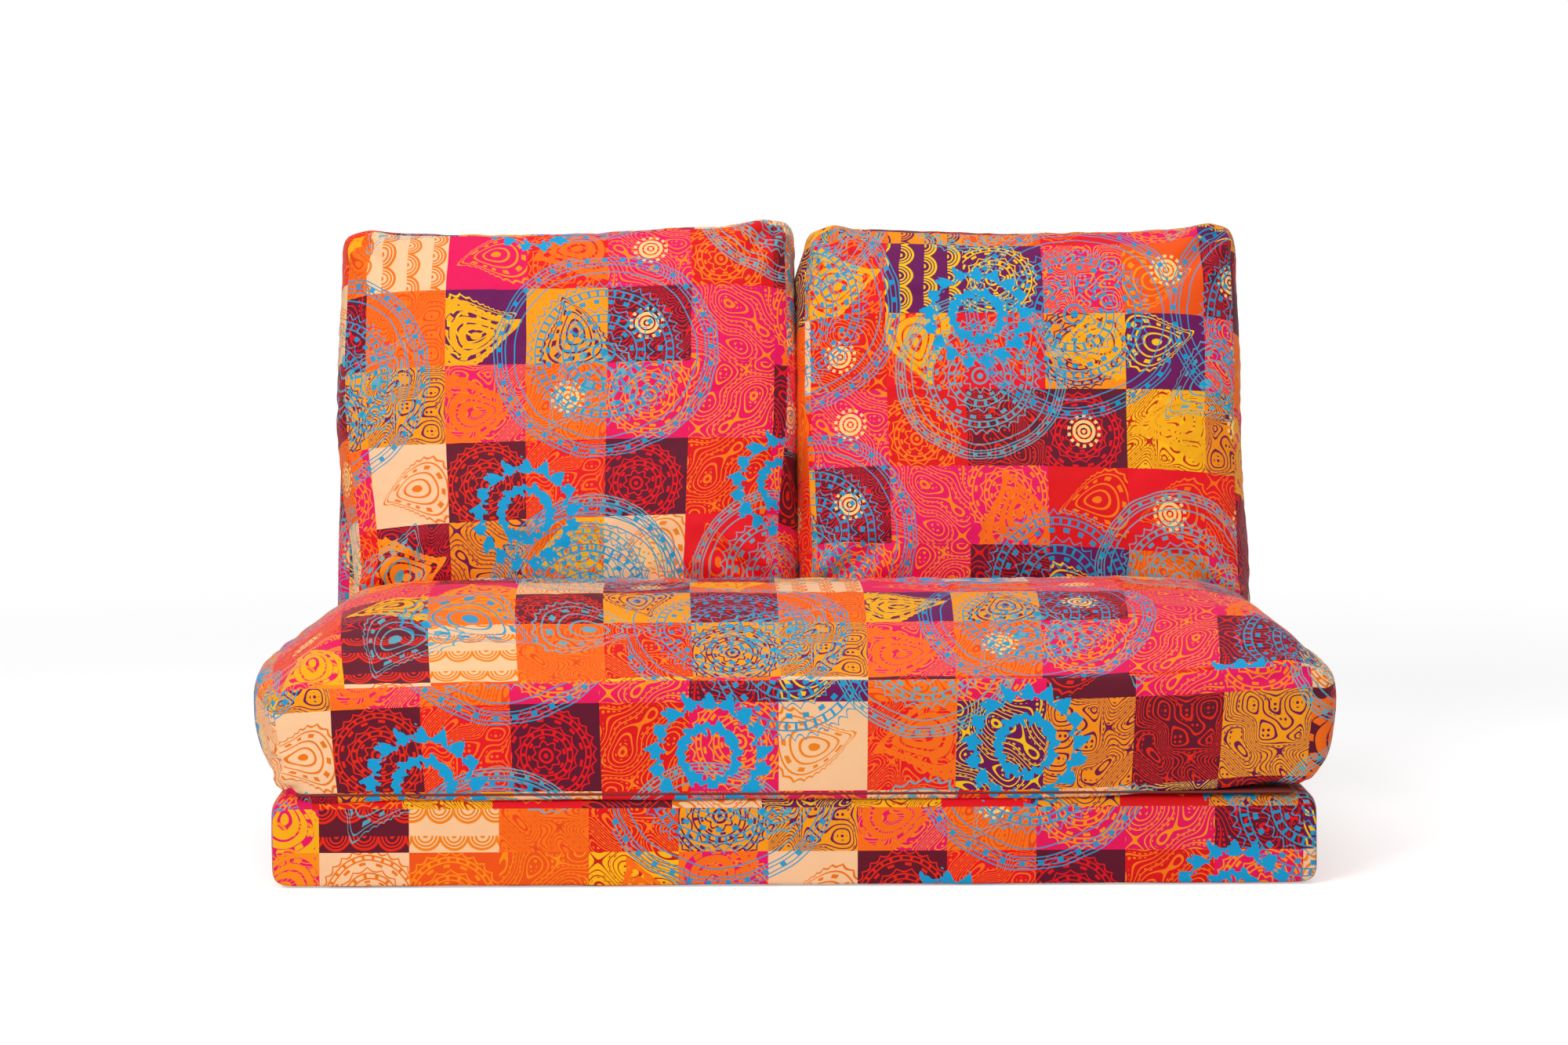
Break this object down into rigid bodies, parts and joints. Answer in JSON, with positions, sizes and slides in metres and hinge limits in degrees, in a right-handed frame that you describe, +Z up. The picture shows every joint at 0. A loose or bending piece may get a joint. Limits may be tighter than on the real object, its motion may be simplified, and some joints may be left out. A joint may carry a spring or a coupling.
{
  "type": "sofa bed",
  "caption": "Low fold-out sofa bed: crowned seat on a thick base slab, reclining back and loose back cushions, all in printed patchwork fabric.",
  "frame": {"origin": "on the floor, at the middle of the base slab's underside", "axes": "+Z up, +Y to the back, +X to the right of someone looking at the front"},
  "size_m": [1.3972, 0.8706, 0.8096],
  "materials": {
    "cover_fabric": "satin printed cotton patchwork",
    "foam": "matt open-cell foam",
    "wadding": "matt polyester wadding",
    "fill_fibre": "matt fibre filling",
    "hinge_tape": "matt woven tape",
    "elastic_webbing": "matt woven elastic",
    "frame_paint": "satin powder coat",
    "hinge_steel": "zinc plated",
    "pawl_steel": "hardened steel",
    "pin_steel": "bright steel",
    "spring_steel": "blued spring steel",
    "slider_metal": "antique zinc",
    "zip_nylon": "matt nylon"
  },
  "bodies": {
    "seat": {"seat_cover_boxing": "cover_fabric", "seat_cover_top": "cover_fabric", "seat_cover_bottom": "cover_fabric", "seat_wadding": "wadding", "seat_foam": "foam", "seat_frame": "frame_paint", "seat_straps": "elastic_webbing", "hinge_tape_seat": "hinge_tape", "hinge_bracket_left": "hinge_steel", "pivot_pin_left": "pin_steel", "pawl_pin_left": "pin_steel", "pawl_spring_left": "spring_steel", "hinge_bracket_right": "hinge_steel", "pivot_pin_right": "pin_steel", "pawl_pin_right": "pin_steel", "pawl_spring_right": "spring_steel"},
    "base": {"base_cover_wrap": "cover_fabric", "base_cover_front": "cover_fabric", "base_cover_rear": "cover_fabric", "base_foam": "foam", "hinge_tape_base": "hinge_tape"},
    "back": {"back_cover_wrap": "cover_fabric", "back_cover_end_left": "cover_fabric", "back_cover_end_right": "cover_fabric", "back_foam": "foam", "back_frame": "frame_paint", "back_straps": "elastic_webbing", "ratchet_plate_left": "hinge_steel", "ratchet_plate_right": "hinge_steel"},
    "pawl_left": {"pawl_left": "pawl_steel"},
    "cushion_left": {"cushion_left_boxing": "cover_fabric", "cushion_left_front": "cover_fabric", "cushion_left_rear": "cover_fabric", "cushion_left_fill": "fill_fibre", "cushion_left_zip": "zip_nylon"},
    "zip_slider_left": {"cushion_left_zip_slider": "slider_metal"},
    "pawl_right": {"pawl_right": "pawl_steel"},
    "cushion_right": {"cushion_right_boxing": "cover_fabric", "cushion_right_front": "cover_fabric", "cushion_right_rear": "cover_fabric", "cushion_right_fill": "fill_fibre", "cushion_right_zip": "zip_nylon"},
    "zip_slider_right": {"cushion_right_zip_slider": "slider_metal"}
  },
  "joints": [
    {"name": "base_fold", "type": "hinge", "parent": "seat", "child": "base", "pos_m": [0, -0.325, 0.1165], "axis": [-1, 0, 0], "range_deg": [0, 180]},
    {"name": "back_recline", "type": "hinge", "parent": "seat", "child": "back", "pos_m": [0, 0.33, 0.1755], "axis": [-1, 0, 0], "range_deg": [0, 70]},
    {"name": "pawl_swing_left", "type": "hinge", "parent": "seat", "child": "pawl_left", "pos_m": [-0.59, 0.3005, 0.1455], "axis": [1, 0, 0], "range_deg": [0, 7.5]},
    {"name": "zip_slide_left", "type": "slide", "parent": "cushion_left", "child": "zip_slider_left", "axis": [-1, 0, 0], "range_m": [0, 0.36]},
    {"name": "cushion_lift_left", "type": "slide", "parent": "back", "child": "cushion_left", "axis": [0, 0.342, 0.9397], "range_m": [0, 0.5]},
    {"name": "pawl_swing_right", "type": "hinge", "parent": "seat", "child": "pawl_right", "pos_m": [0.59, 0.3005, 0.1455], "axis": [1, 0, 0], "range_deg": [0, 7.5]},
    {"name": "zip_slide_right", "type": "slide", "parent": "cushion_right", "child": "zip_slider_right", "axis": [1, 0, 0], "range_m": [0, 0.36]},
    {"name": "cushion_lift_right", "type": "slide", "parent": "back", "child": "cushion_right", "axis": [0, 0.342, 0.9397], "range_m": [0, 0.5]}
  ]
}
